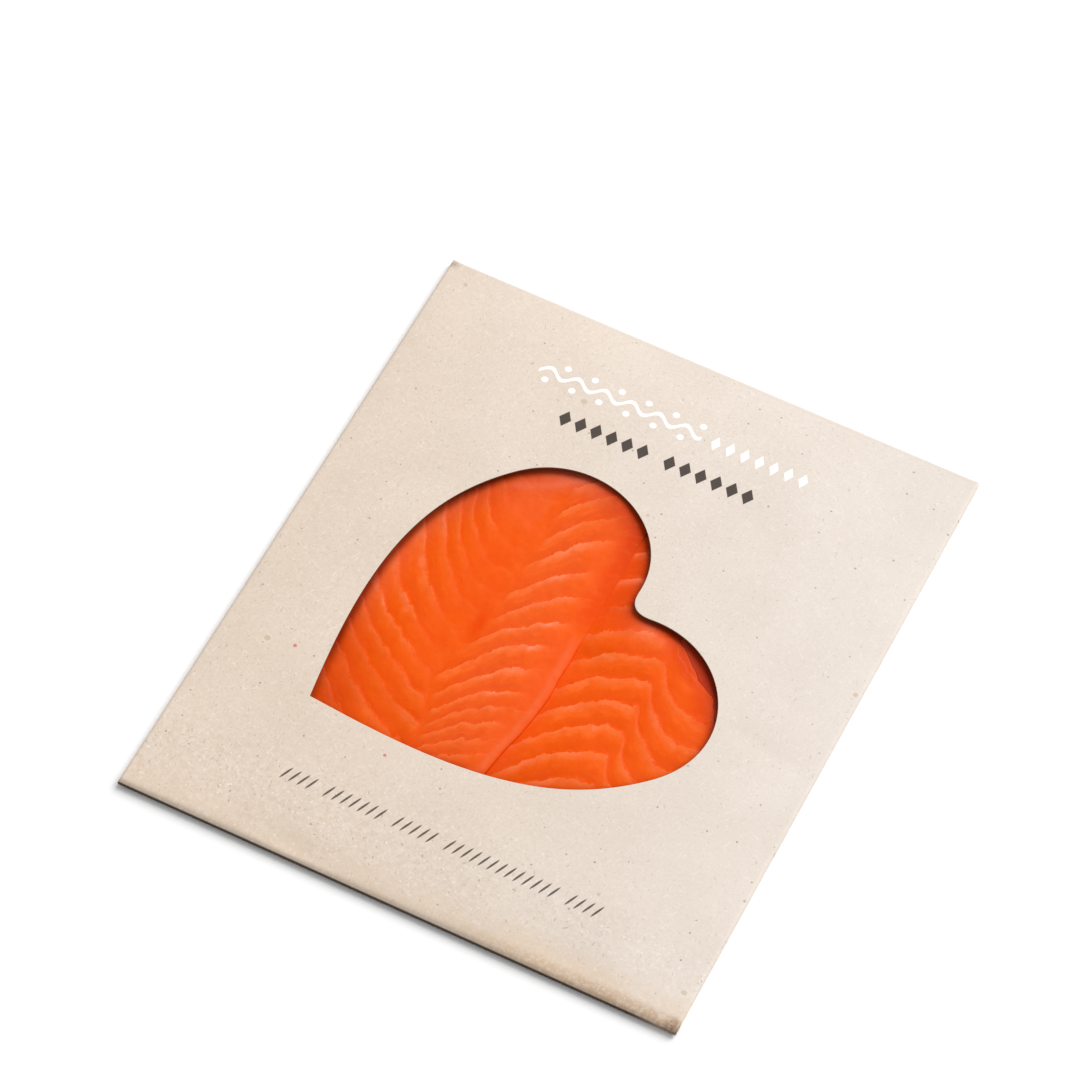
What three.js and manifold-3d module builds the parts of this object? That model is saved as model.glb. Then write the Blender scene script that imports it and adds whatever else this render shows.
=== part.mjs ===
// Flat pack of cold smoked salmon: a folded sleeve of recycled board with a heart-shaped window,
// and the overlapping slices of fish that lie inside and show through it.
// Millimetres. The pack lies on its back: +X runs to the right across its front, +Y up the front, +Z out of it.
// The origin is the middle of the pack on the surface that it lies on.
import * as THREE from 'three';
import { mergeVertices } from 'three/addons/utils/BufferGeometryUtils.js';
import Module from 'manifold-3d';

const SLEEVE = {
  width: 180,
  height: 220,
  board: 0.55,
  edgeThickness: 3.0,
  middleRise: 2.6,
  crownPower: 4,
  sideFold: 1.6,
  farFold: 1.6,
  nearFold: 4.0,
  colour: '#e6d9cb',
  roughness: 0.85,
};

const WINDOW = {
  centreX: -7.15,
  centreY: -10.5,
  axisDegrees: 46,
  tip: -66.9,
  tipDegrees: 37.9,
  tipHandle: 51.2,
  lobeHalfWidth: 58.4,
  lobeHeight: 19.0,
  lobeHandleToTip: 31.0,
  lobeHandleToNotch: 29.1,
  shoulderX: 5.2,
  shoulderY: 38.8,
  shoulderDegrees: 49,
  shoulderHandle: 26.9,
};

const SEAM = {
  fromTop: 58,
  width: 1.2,
  depth: 0.3,
  sideMargin: 4,
};

const FISH = {
  colour: '#f4652a',
  deepColour: '#b9441c',
  roughness: 0.32,
  middleX: 0.8,
  middleY: -0.75,
  gap: 0.3,
  ridge: 0.3,
  ridgeFall: 1.3,
  marginStart: 50,
  marginEnd: 67,
  marginDrop: 0.5,
  ceiling: 12,
};

const LEFT_SLICE = {
  outline: { left: -68, right: 20, near: -70, far: 67, corner: 26 },
  outerEdge: -69,
  cutEdge: 7.6,
  cutEdgeLean: 5.2,
  leanFrom: -20,
  leanTo: -58,
  edgeRound: 2.2,
  valleyLeft: -28,
  valleyRight: -21,
  valleyCalm: 0.7,
  calmLeadIn: 8,
  calmLeadOut: 1,
  fallWidth: 22,
  fallPower: 1.5,
  fallNear: 12,
  fallFar: 25,
  fallChange: [-45, -10],
  climbWidth: 17,
  climbPower: 1.15,
  climbNear: 11.7,
  climbFar: 24.3,
  climbChange: [-58, -18],
  topOnTray: 3.6,
  topOnNeighbour: 4.3,
  riseFrom: -24,
  riseTo: -2,
  outerDrop: 1.0,
  outerDropFrom: -36,
  outerDropTo: -62,
  undersideOnNeighbour: 3.4,
  liftFrom: -22,
  liftTo: -12,
  smoothFrom: -1,
  smoothTo: 4,
  smoothing: 0.8,
  sideColumns: 8,
  roundColumns: [0.45, 0.12, 0],
};

const RIGHT_SLICE = {
  outline: { left: -6, right: 67, near: -70, far: 44, corner: 14 },
  outerEdge: 70,
  highestBand: 82,
  pitch: 10.05,
  bands: 15,
  peakX: 33,
  archHeight: 4,
  archFall: 16,
  archReach: 25,
  archPower: 1.9,
  foldWidth: 1,
  flankStart: -0.8,
  flankFall: 11.2,
  flankReach: 15,
  topAtOverlap: 2.75,
  topMiddle: 3.5,
  riseFrom: 6,
  riseTo: 28,
  undersideOnUnder: 2.55,
  liftFrom: 25,
  liftTo: 31.5,
  columnsLeft: 9,
  columnsRight: 7,
};

// Plan of the right slice's free edge, from its hidden far side down to its outer side.
const RIGHT_SLICE_EDGE = [
  [24, 44],
  [34, 20],
  [37, 9.5],
  [42.5, 3],
  [46.5, 0.3],
  [51, -1.6],
  [54.5, -8],
  [59, -13],
  [67, -22],
];

const UNDER_SLICE = {
  outline: { left: 33, right: 66, near: -34, far: 40, corner: 9 },
  top: 2.2,
  ridge: 0.12,
  highestBand: 60,
  pitch: 9,
  slope: 0.5,
  bands: 13,
  columns: 4,
};

// Heights at which the left slice's bands of muscle cross its flat valley.
const LEFT_BANDS = [
  67, 56, 46, 36, 26, 15, 3.5, -4.5, -15, -24, -32, -39.6, -46, -52, -58, -64, -70, -76, -82, -89,
];
// Where the rows of each band stand, as a share of the way from its raised edge to the next band.
const BAND_ROWS = [0, 0.4, 0.93];
const SIDE_STEPS = 24;
const NOTCH_STEPS = 2;
const FOLD_STEPS = 6;
const PANEL_STEPS = 5;
const CORNER_STEPS = 6;
const EDGE_STEPS = 36;

const wasm = await Module();
wasm.setup();

function clamp01(value) {
  return Math.min(1, Math.max(0, value));
}

function mix(from, to, share) {
  return from + (to - from) * share;
}

// Eased step from 0 at the first place to 1 at the second.
function ease(from, to, value) {
  const share = clamp01((value - from) / (to - from));
  return share * share * (3 - 2 * share);
}

// Closed body from rings of equally many points: each ring is joined to the next,
// and the first and last rings are closed by a fan round their middle points.
function bodyFromRings(rings, firstMiddle, lastMiddle) {
  const count = rings[0].length;
  const points = [];
  const faces = [];
  for (const ring of rings) {
    for (const point of ring) {
      points.push(point.x, point.y, point.z);
    }
  }
  for (let ring = 0; ring + 1 < rings.length; ring += 1) {
    for (let step = 0; step < count; step += 1) {
      const next = (step + 1) % count;
      const here = ring * count;
      const there = here + count;
      faces.push(here + step, here + next, there + next);
      faces.push(here + step, there + next, there + step);
    }
  }
  const first = points.length / 3;
  const last = first + 1;
  points.push(firstMiddle.x, firstMiddle.y, firstMiddle.z);
  points.push(lastMiddle.x, lastMiddle.y, lastMiddle.z);
  const end = (rings.length - 1) * count;
  for (let step = 0; step < count; step += 1) {
    const next = (step + 1) % count;
    faces.push(first, next, step);
    faces.push(last, end + step, end + next);
  }
  return bodyFrom(points, faces);
}

function bodyFrom(points, faces) {
  const geometry = new THREE.BufferGeometry();
  geometry.setAttribute('position', new THREE.Float32BufferAttribute(points, 3));
  geometry.setIndex(faces);
  return geometry;
}

function solidOf(geometry) {
  const bare = geometry.clone();
  bare.deleteAttribute('normal');
  bare.deleteAttribute('uv');
  const merged = mergeVertices(bare);
  const vertProperties = new Float32Array(merged.getAttribute('position').array);
  const triVerts = new Uint32Array(merged.getIndex().array);
  return new wasm.Manifold(new wasm.Mesh({ numProp: 3, vertProperties, triVerts }));
}

function geometryOf(solid) {
  const mesh = solid.getMesh();
  return bodyFrom(Array.from(mesh.vertProperties), Array.from(mesh.triVerts));
}

function namedMesh(name, geometry, colour, roughness) {
  geometry.computeVertexNormals();
  const material = new THREE.MeshStandardMaterial({ color: colour, roughness, metalness: 0 });
  const mesh = new THREE.Mesh(geometry, material);
  mesh.name = name;
  return mesh;
}

// Height of the front panel's outer face: level with the folds at the rim, raised over the fish.
function frontHeight(x, y) {
  const across = Math.abs(x / (SLEEVE.width / 2)) ** SLEEVE.crownPower;
  const along = Math.abs(y / (SLEEVE.height / 2)) ** SLEEVE.crownPower;
  return SLEEVE.edgeThickness + SLEEVE.middleRise * (1 - across) * (1 - along);
}

// One half of the window's outline in its own axes, from the tip to the middle of the notch.
function windowHalf() {
  const tip = new THREE.Vector2(0, WINDOW.tip);
  const tipAngle = THREE.MathUtils.degToRad(WINDOW.tipDegrees);
  const tipHandle = new THREE.Vector2(Math.cos(tipAngle), Math.sin(tipAngle))
    .multiplyScalar(WINDOW.tipHandle)
    .add(tip);
  const lobe = new THREE.Vector2(WINDOW.lobeHalfWidth, WINDOW.lobeHeight);
  const lobeToTip = new THREE.Vector2(lobe.x, lobe.y - WINDOW.lobeHandleToTip);
  const lobeToNotch = new THREE.Vector2(lobe.x, lobe.y + WINDOW.lobeHandleToNotch);
  const shoulder = new THREE.Vector2(WINDOW.shoulderX, WINDOW.shoulderY);
  const shoulderAngle = THREE.MathUtils.degToRad(WINDOW.shoulderDegrees);
  const slope = new THREE.Vector2(Math.cos(shoulderAngle), Math.sin(shoulderAngle));
  const shoulderHandle = slope.clone().multiplyScalar(WINDOW.shoulderHandle).add(shoulder);
  const notchHandle = new THREE.Vector2(0, shoulder.y - shoulder.x * Math.tan(shoulderAngle));
  const mirrored = new THREE.Vector2(-shoulder.x, shoulder.y);
  const side = new THREE.CubicBezierCurve(tip, tipHandle, lobeToTip, lobe);
  const top = new THREE.CubicBezierCurve(lobe, lobeToNotch, shoulderHandle, shoulder);
  const notch = new THREE.QuadraticBezierCurve(shoulder, notchHandle, mirrored);
  const points = side.getSpacedPoints(SIDE_STEPS);
  points.push(...top.getSpacedPoints(SIDE_STEPS - NOTCH_STEPS).slice(1));
  for (let step = 1; step <= NOTCH_STEPS; step += 1) {
    points.push(notch.getPoint(step / NOTCH_STEPS / 2));
  }
  return points;
}

// The window's outline on the pack, anticlockwise from the tip.
function windowOutline() {
  const half = windowHalf();
  const back = half.slice(1, -1).reverse();
  const outline = half.concat(back.map((point) => new THREE.Vector2(-point.x, point.y)));
  const turn = THREE.MathUtils.degToRad(WINDOW.axisDegrees - 90);
  const origin = new THREE.Vector2();
  const centre = new THREE.Vector2(WINDOW.centreX, WINDOW.centreY);
  return outline.map((point) => point.clone().rotateAround(origin, turn).add(centre));
}

// Rectangle set in from the sleeve's outline, anticlockwise from its near left corner.
function rectangle(side, near, far) {
  const right = SLEEVE.width / 2 - side;
  const bottom = -SLEEVE.height / 2 + near;
  const top = SLEEVE.height / 2 - far;
  const corners = [
    new THREE.Vector2(-right, bottom),
    new THREE.Vector2(right, bottom),
    new THREE.Vector2(right, top),
    new THREE.Vector2(-right, top),
  ];
  const points = [];
  corners.forEach((corner, index) => {
    const next = corners[(index + 1) % corners.length];
    for (let step = 0; step < SIDE_STEPS; step += 1) {
      points.push(corner.clone().lerp(next, step / SIDE_STEPS));
    }
  });
  return points;
}

// Ring round a fold: the angle runs from the back panel, under the edge, to the front panel.
// The inset shrinks the fold to the inner face of the board.
function foldRing(angle, inset) {
  const shrink = 1 - Math.cos(angle);
  const reach = (radius) => inset + (radius - inset) * shrink;
  const ring = rectangle(reach(SLEEVE.sideFold), reach(SLEEVE.nearFold), reach(SLEEVE.farFold));
  const half = SLEEVE.edgeThickness / 2;
  const height = half + (half - inset) * Math.sin(angle);
  const blend = ease(0, Math.PI / 2, angle);
  return ring.map((point) => {
    const front = frontHeight(point.x, point.y) - inset;
    return new THREE.Vector3(point.x, point.y, mix(height, front, blend));
  });
}

function foldRings(inset) {
  const rings = [];
  for (let step = 0; step <= FOLD_STEPS; step += 1) {
    rings.push(foldRing(Math.PI * (step / FOLD_STEPS - 0.5), inset));
  }
  return rings;
}

// Rings over the front panel, from the folds to the edge of the window.
function panelRings(outer, outline, inset) {
  const rings = [];
  for (let step = 1; step <= PANEL_STEPS; step += 1) {
    const share = step / PANEL_STEPS;
    rings.push(
      outer.map((point, index) => {
        const x = mix(point.x, outline[index].x, share);
        const y = mix(point.y, outline[index].y, share);
        return new THREE.Vector3(x, y, frontHeight(x, y) - inset);
      }),
    );
  }
  return rings;
}

// One sheet of board folded round into a flat pocket and glued: its outer face, the cut edge of
// the window and its inner face make one skin.
function sleeveBody() {
  const outline = windowOutline();
  const outerFolds = foldRings(0);
  const innerFolds = foldRings(SLEEVE.board);
  const outerPanel = panelRings(outerFolds.at(-1), outline, 0);
  const innerPanel = panelRings(innerFolds.at(-1), outline, SLEEVE.board);
  const rings = [
    ...outerFolds,
    ...outerPanel,
    ...innerPanel.reverse(),
    ...innerFolds.reverse(),
  ];
  const outerMiddle = new THREE.Vector3(0, 0, 0);
  const innerMiddle = new THREE.Vector3(0, 0, SLEEVE.board);
  return bodyFromRings(rings, outerMiddle, innerMiddle);
}

// The glued seam of the back panel shows as a shallow groove beside the overlapping flap's edge.
function seamCutter() {
  const width = SLEEVE.width - 2 * SEAM.sideMargin;
  const groove = new THREE.BoxGeometry(width, SEAM.width, 2 * SEAM.depth);
  groove.translate(0, SLEEVE.height / 2 - SEAM.fromTop, 0);
  return groove;
}

function makeSleeve() {
  const sleeve = solidOf(sleeveBody()).subtract(solidOf(seamCutter()));
  return namedMesh('sleeve', geometryOf(sleeve), SLEEVE.colour, SLEEVE.roughness);
}

// Slab over a grid: the rows run from the far side to the near side and the columns from left to
// right, and the top and the underside are height fields over them.
function slab(columns, rows, place, topOf, undersideOf) {
  const points = [];
  const faces = [];
  const width = columns.length;
  const layer = width * rows.length;
  for (const heightOf of [topOf, undersideOf]) {
    for (const row of rows) {
      for (const column of columns) {
        const { x, y } = place(column, row);
        points.push(x, y, heightOf(x, y, row));
      }
    }
  }
  for (let row = 0; row + 1 < rows.length; row += 1) {
    for (let column = 0; column + 1 < width; column += 1) {
      const a = row * width + column;
      const b = a + 1;
      const c = a + width;
      const d = c + 1;
      faces.push(a, c, d, a, d, b);
      faces.push(layer + a, layer + d, layer + c, layer + a, layer + b, layer + d);
    }
  }
  for (const [from, to] of borderEdges(width, rows.length)) {
    faces.push(from, to, layer + to, from, layer + to, layer + from);
  }
  return bodyFrom(points, faces);
}

// Edges round a grid's border: right along the first row, down the last column and back.
function borderEdges(width, height) {
  const loop = [];
  for (let column = 0; column < width; column += 1) {
    loop.push(column);
  }
  for (let row = 1; row < height; row += 1) {
    loop.push(row * width + width - 1);
  }
  for (let column = width - 2; column >= 0; column -= 1) {
    loop.push((height - 1) * width + column);
  }
  for (let row = height - 2; row > 0; row -= 1) {
    loop.push(row * width);
  }
  return loop.map((start, index) => [start, loop[(index + 1) % loop.length]]);
}

// Upright block over a plan, tall enough to trim a slice to its outline.
function trimBlock(shape) {
  const settings = { depth: FISH.ceiling, bevelEnabled: false, curveSegments: CORNER_STEPS };
  return solidOf(new THREE.ExtrudeGeometry(shape, settings));
}

// Slice trimmed to its plan and set in its place under the window.
function sliceMesh(name, body, plan, colour) {
  const trimmed = solidOf(body).intersect(trimBlock(plan));
  const geometry = geometryOf(trimmed).translate(FISH.middleX, FISH.middleY, 0);
  return namedMesh(name, geometry, colour, FISH.roughness);
}

function roundedPlan({ left, right, near, far, corner }) {
  const plan = new THREE.Shape();
  plan.absarc(right - corner, near + corner, corner, -Math.PI / 2, 0, false);
  plan.absarc(right - corner, far - corner, corner, 0, Math.PI / 2, false);
  plan.absarc(left + corner, far - corner, corner, Math.PI / 2, Math.PI, false);
  plan.absarc(left + corner, near + corner, corner, Math.PI, Math.PI * 1.5, false);
  return plan;
}

// How far a slice has sunk towards its hidden margins.
function marginFall(x, y) {
  return FISH.marginDrop * ease(FISH.marginStart, FISH.marginEnd, Math.hypot(x, y));
}

// Relief of one band: raised along its far edge, sinking towards the next band.
function ridge(share) {
  return FISH.ridge * (1 - share) ** FISH.ridgeFall;
}

// Rows of every band: each holds its band's number and its share of the way down.
function bandRows(count) {
  const rows = [];
  for (let band = 0; band < count; band += 1) {
    for (const share of BAND_ROWS) {
      rows.push({ band, share });
    }
  }
  return rows;
}

function steps(from, to, count) {
  return Array.from({ length: count + 1 }, (_, step) => mix(from, to, step / count));
}

// Height on the pack of a band's raised edge on the left slice. The bands run down from the left
// into a flat valley and climb out of it to the right.
function leftBand(band, x) {
  const valley = LEFT_BANDS[band];
  const fall = mix(LEFT_SLICE.fallNear, LEFT_SLICE.fallFar, ease(...LEFT_SLICE.fallChange, valley));
  const climb = mix(LEFT_SLICE.climbNear, LEFT_SLICE.climbFar, ease(...LEFT_SLICE.climbChange, valley));
  const left = Math.max(0, (LEFT_SLICE.valleyLeft - x) / LEFT_SLICE.fallWidth);
  const right = Math.max(0, (x - LEFT_SLICE.valleyRight) / LEFT_SLICE.climbWidth);
  return valley + fall * left ** LEFT_SLICE.fallPower + climb * Math.tanh(right) ** LEFT_SLICE.climbPower;
}

// The cut edge leans to the left towards the near side.
function leftSliceEdge(y) {
  return LEFT_SLICE.cutEdge - LEFT_SLICE.cutEdgeLean * ease(LEFT_SLICE.leanFrom, LEFT_SLICE.leanTo, y);
}

// The relief is calm in the valley and on the smooth strip beside the cut edge.
function leftRelief(x) {
  const { valleyLeft, valleyRight, calmLeadIn, calmLeadOut } = LEFT_SLICE;
  const intoValley = ease(valleyLeft - calmLeadIn, valleyLeft, x);
  const outOfValley = ease(valleyRight - calmLeadOut, valleyRight + calmLeadOut, x);
  const valley = intoValley * (1 - outOfValley);
  const strip = ease(LEFT_SLICE.smoothFrom, LEFT_SLICE.smoothTo, x);
  return (1 - LEFT_SLICE.valleyCalm * valley) * (1 - LEFT_SLICE.smoothing * strip);
}

function leftUnderside(x) {
  const lifted = ease(LEFT_SLICE.liftFrom, LEFT_SLICE.liftTo, x);
  return mix(SLEEVE.board + FISH.gap, LEFT_SLICE.undersideOnNeighbour, lifted);
}

// The cut edge is rounded over, down to half the slice's thickness.
function leftTop(x, y, row) {
  const raised = ease(LEFT_SLICE.riseFrom, LEFT_SLICE.riseTo, x);
  const base = mix(LEFT_SLICE.topOnTray, LEFT_SLICE.topOnNeighbour, raised);
  const drop = LEFT_SLICE.outerDrop * ease(-LEFT_SLICE.outerDropFrom, -LEFT_SLICE.outerDropTo, -x);
  const full = base - drop - marginFall(x, y) + ridge(row.share) * leftRelief(x);
  const inward = clamp01((leftSliceEdge(y) - x) / LEFT_SLICE.edgeRound);
  const rounded = Math.sqrt(1 - (1 - inward) ** 2);
  return mix((full + leftUnderside(x)) / 2, full, rounded);
}

function makeLeftSlice() {
  const edge = LEFT_SLICE.cutEdge;
  const round = LEFT_SLICE.edgeRound;
  const columns = [
    ...steps(LEFT_SLICE.outerEdge, LEFT_SLICE.valleyRight - LEFT_SLICE.calmLeadOut, LEFT_SLICE.sideColumns),
    ...steps(LEFT_SLICE.valleyRight + LEFT_SLICE.calmLeadOut, edge - round, LEFT_SLICE.sideColumns),
    ...LEFT_SLICE.roundColumns.map((share) => edge - share * round),
  ];
  const place = (column, row) => {
    const upper = leftBand(row.band, column);
    const lower = leftBand(row.band + 1, column);
    const y = mix(upper, lower, row.share);
    const lean = edge - leftSliceEdge(y);
    return { x: column - lean * ease(LEFT_SLICE.valleyRight, edge - round, column), y };
  };
  const body = slab(columns, bandRows(LEFT_BANDS.length - 1), place, leftTop, leftUnderside);
  return sliceMesh('salmon_slice_left', body, roundedPlan(LEFT_SLICE.outline), FISH.colour);
}

// Height on the pack of a band's raised edge on the right slice: an arch that climbs from the
// left, with a sharp turn at its peak and a flank that runs down to the right.
function rightBand(band, x) {
  const height = RIGHT_SLICE.highestBand - RIGHT_SLICE.pitch * band;
  const reach = Math.max(0, (RIGHT_SLICE.peakX - x) / RIGHT_SLICE.archReach);
  const arch = RIGHT_SLICE.archHeight - RIGHT_SLICE.archFall * reach ** RIGHT_SLICE.archPower;
  const along = clamp01((x - RIGHT_SLICE.peakX) / RIGHT_SLICE.flankReach);
  const flank = RIGHT_SLICE.flankStart - RIGHT_SLICE.flankFall * Math.sin((along * Math.PI) / 2);
  const turned = ease(RIGHT_SLICE.peakX, RIGHT_SLICE.peakX + RIGHT_SLICE.foldWidth, x);
  return height + mix(arch, flank, turned);
}

function rightTop(x, y, row) {
  const raised = ease(RIGHT_SLICE.riseFrom, RIGHT_SLICE.riseTo, x);
  return mix(RIGHT_SLICE.topAtOverlap, RIGHT_SLICE.topMiddle, raised) - marginFall(x, y) + ridge(row.share);
}

function rightUnderside(x) {
  const lifted = ease(RIGHT_SLICE.liftFrom, RIGHT_SLICE.liftTo, x);
  return mix(SLEEVE.board + FISH.gap, RIGHT_SLICE.undersideOnUnder, lifted);
}

// The right slice's plan: its hidden outline, cut back to the free edge at the far right.
function rightPlan() {
  const edge = new THREE.SplineCurve(RIGHT_SLICE_EDGE.map(([x, y]) => new THREE.Vector2(x, y)));
  const plan = new THREE.Shape();
  const [farEndX] = RIGHT_SLICE_EDGE[0];
  const [, nearEndY] = RIGHT_SLICE_EDGE.at(-1);
  const outline = roundedPlan(RIGHT_SLICE.outline).getPoints(CORNER_STEPS);
  const kept = outline.filter((point) => !(point.x > farEndX && point.y > nearEndY));
  const split = kept.findIndex((point) => point.y > 0);
  const free = edge.getPoints(EDGE_STEPS).reverse();
  plan.setFromPoints([...kept.slice(0, split), ...free, ...kept.slice(split)]);
  return plan;
}

function makeRightSlice() {
  const columns = [
    ...steps(RIGHT_SLICE.outline.left - 1, RIGHT_SLICE.peakX, RIGHT_SLICE.columnsLeft),
    ...steps(RIGHT_SLICE.peakX + RIGHT_SLICE.foldWidth, RIGHT_SLICE.outerEdge, RIGHT_SLICE.columnsRight),
  ];
  const place = (column, row) => {
    const upper = rightBand(row.band, column);
    return { x: column, y: upper - RIGHT_SLICE.pitch * row.share };
  };
  const body = slab(columns, bandRows(RIGHT_SLICE.bands), place, rightTop, rightUnderside);
  return sliceMesh('salmon_slice_right', body, rightPlan(), FISH.colour);
}

function makeUnderSlice() {
  const { outline, slope, pitch, top, ridge: relief } = UNDER_SLICE;
  const columns = steps(outline.left - 1, outline.right + 1, UNDER_SLICE.columns);
  const place = (column, row) => {
    const height = UNDER_SLICE.highestBand - pitch * (row.band + row.share);
    return { x: column, y: height - slope * (column - outline.left) };
  };
  const topOf = (x, y, row) => top + relief * (1 - row.share);
  const undersideOf = () => SLEEVE.board + FISH.gap;
  const body = slab(columns, bandRows(UNDER_SLICE.bands), place, topOf, undersideOf);
  return sliceMesh('salmon_slice_under', body, roundedPlan(outline), FISH.deepColour);
}

const group = new THREE.Group();
group.add(makeSleeve(), makeLeftSlice(), makeRightSlice(), makeUnderSlice());

export default group;
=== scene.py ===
import math

import bpy
import numpy as np
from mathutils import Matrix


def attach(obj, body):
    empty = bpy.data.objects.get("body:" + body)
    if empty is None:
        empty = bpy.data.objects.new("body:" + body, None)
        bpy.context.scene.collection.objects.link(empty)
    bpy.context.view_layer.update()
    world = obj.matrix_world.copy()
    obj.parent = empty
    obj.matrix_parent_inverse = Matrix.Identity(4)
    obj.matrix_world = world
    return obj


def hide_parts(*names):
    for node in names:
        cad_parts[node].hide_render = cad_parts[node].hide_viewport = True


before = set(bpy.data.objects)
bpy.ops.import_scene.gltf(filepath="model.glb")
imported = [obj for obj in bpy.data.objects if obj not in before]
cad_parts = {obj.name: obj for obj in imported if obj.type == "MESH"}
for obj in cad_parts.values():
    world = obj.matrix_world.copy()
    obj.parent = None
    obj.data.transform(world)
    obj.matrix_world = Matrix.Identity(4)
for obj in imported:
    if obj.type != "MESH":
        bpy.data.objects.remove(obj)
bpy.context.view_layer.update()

# Sleeve: one sheet of thin uncoated board, pulped from waste paper, printed in one pass, die-cut with a
# heart-shaped window and folded round the fish. Its long folds are pressed flat, the near one rolls over
# more softly, and a flap glued across the back closes it. Sizes are in millimetres.
MM = 0.001
SLEEVE_WIDTH = 180.0
SLEEVE_HEIGHT = 220.0
BOARD = 0.55
EDGE_THICKNESS = 3.0
MIDDLE_RISE = 2.6
SIDE_FOLD = 1.6
NEAR_FOLD = 2.8
UNDER_FOLD = 0.8
SEAM_HEIGHT = 52.0
SEAM_DEPTH = 0.26
SIDE_STEPS = 120
FOLD_STEPS = 16
PANEL_STEPS = 40
RANDOM_CELLS = 256
RANDOM_SHIFT = (71.3, 53.7)
CREASE_DEPTH, CREASE_WIDTH = 0.13, 3.2
CREASE_PLACE, CREASE_SLOPE = (57.0, -9.5), -0.13
DENTS = ((0.45, (-35, -106), (13, 4)), (0.40, (52, -103), (10, 5)))


def ease(low, high, value):
    """Eased step: 0 below low, 1 above high, and 3t^2 - 2t^3 between them."""
    t = np.clip((value - low) / (high - low), 0.0, 1.0)
    return t * t * (3.0 - 2.0 * t)


def mottle(x, y, cell, seed):
    """Smooth random relief from -1 to 1: random values at the corners of square cells, with eased blends."""
    table = np.random.default_rng(seed).uniform(-1.0, 1.0, (RANDOM_CELLS, RANDOM_CELLS))
    u = x / cell + RANDOM_SHIFT[0]
    v = y / cell + RANDOM_SHIFT[1]
    i = np.floor(u).astype(int)
    j = np.floor(v).astype(int)
    a = ease(0.0, 1.0, u - i)
    b = ease(0.0, 1.0, v - j)
    left, right = i % RANDOM_CELLS, (i + 1) % RANDOM_CELLS
    near, far = j % RANDOM_CELLS, (j + 1) % RANDOM_CELLS
    low = table[near, left] * (1 - a) + table[near, right] * a
    high = table[far, left] * (1 - a) + table[far, right] * a
    return low * (1 - b) + high * b


def hollow(x, y, at, size):
    """Bell-shaped dent of depth 1: e to the minus squared distance, in units of its own width and height."""
    return np.exp(-((x - at[0]) / size[0]) ** 2 - ((y - at[1]) / size[1]) ** 2)


def front_height(x, y):
    """Front panel: level with the folds at the rim, raised by 1 - x^4 times 1 - y^4, less small dents."""
    rim = (1 - np.abs(x / (SLEEVE_WIDTH / 2)) ** 4) * (1 - np.abs(y / (SLEEVE_HEIGHT / 2)) ** 4)
    slack = ease(0.0, 0.25, rim)
    waves = 0.11 * mottle(x, y, 37.0, 5) + 0.05 * mottle(x, y, 15.0, 6)
    aside = y - CREASE_PLACE[1] - CREASE_SLOPE * (x - CREASE_PLACE[0])
    crease = CREASE_DEPTH * np.exp(-(aside / CREASE_WIDTH) ** 2) * ease(55, 66, x) * (1 - ease(82, 90, x))
    dents = sum(depth * hollow(x, y, at, size) for depth, at, size in DENTS)
    return EDGE_THICKNESS + MIDDLE_RISE * rim + slack * waves - crease - dents


def along_bezier(points, count):
    """Evenly spaced points on a cubic curve: its polynomial at 400 steps, then interpolated by length."""
    t = np.linspace(0.0, 1.0, 400)[:, None]
    p = [np.array(point, float) for point in points]
    fine = (1 - t) ** 3 * p[0] + 3 * (1 - t) ** 2 * t * p[1] + 3 * (1 - t) * t ** 2 * p[2] + t ** 3 * p[3]
    length = np.concatenate([[0.0], np.cumsum(np.hypot(*np.diff(fine, axis=0).T))])
    even = np.linspace(0.0, length[-1], count + 1)
    return np.stack([np.interp(even, length, fine[:, k]) for k in (0, 1)], axis=1)


HEART_TIP, HEART_LOBE, HEART_SHOULDER = (0.0, -66.9), (58.4, 19.0), (5.2, 38.8)
TIP_SLOPE, NOTCH_SLOPE = 37.9, 49.0
TIP_PULL, SIDE_PULL, CROWN_PULL, NOTCH_PULL = 51.2, 31.0, 29.1, 26.9
NOTCH_STEPS = 8
WINDOW_LEAN = 46.0
WINDOW_MIDDLE = (-7.15, -10.5)


def window_outline(steps):
    """Heart: cubic curves from tip to lobe to notch, the notch rounded by a parabola, mirrored and turned."""
    tip, lobe, shoulder = HEART_TIP, HEART_LOBE, HEART_SHOULDER
    rise, fall = math.radians(TIP_SLOPE), math.radians(NOTCH_SLOPE)
    after_tip = (tip[0] + TIP_PULL * math.cos(rise), tip[1] + TIP_PULL * math.sin(rise))
    before_notch = (shoulder[0] + NOTCH_PULL * math.cos(fall), shoulder[1] + NOTCH_PULL * math.sin(fall))
    side = along_bezier([tip, after_tip, (lobe[0], lobe[1] - SIDE_PULL), lobe], steps)
    crown = along_bezier([lobe, (lobe[0], lobe[1] + CROWN_PULL), before_notch, shoulder], steps - NOTCH_STEPS)
    t = np.arange(1, NOTCH_STEPS + 1)[:, None] / (2 * NOTCH_STEPS)
    notch = np.array([0.0, shoulder[1] - shoulder[0] * math.tan(fall)])
    ends = np.array([shoulder]), np.array([(-shoulder[0], shoulder[1])])
    bottom = (1 - t) ** 2 * ends[0] + 2 * t * (1 - t) * notch + t ** 2 * ends[1]
    half = np.concatenate([side, crown[1:], bottom])
    whole = np.concatenate([half, half[-2:0:-1] * (-1, 1)])
    turn = math.radians(WINDOW_LEAN - 90.0)
    x = whole[:, 0] * math.cos(turn) - whole[:, 1] * math.sin(turn) + WINDOW_MIDDLE[0]
    y = whole[:, 0] * math.sin(turn) + whole[:, 1] * math.cos(turn) + WINDOW_MIDDLE[1]
    return x, y


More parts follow.
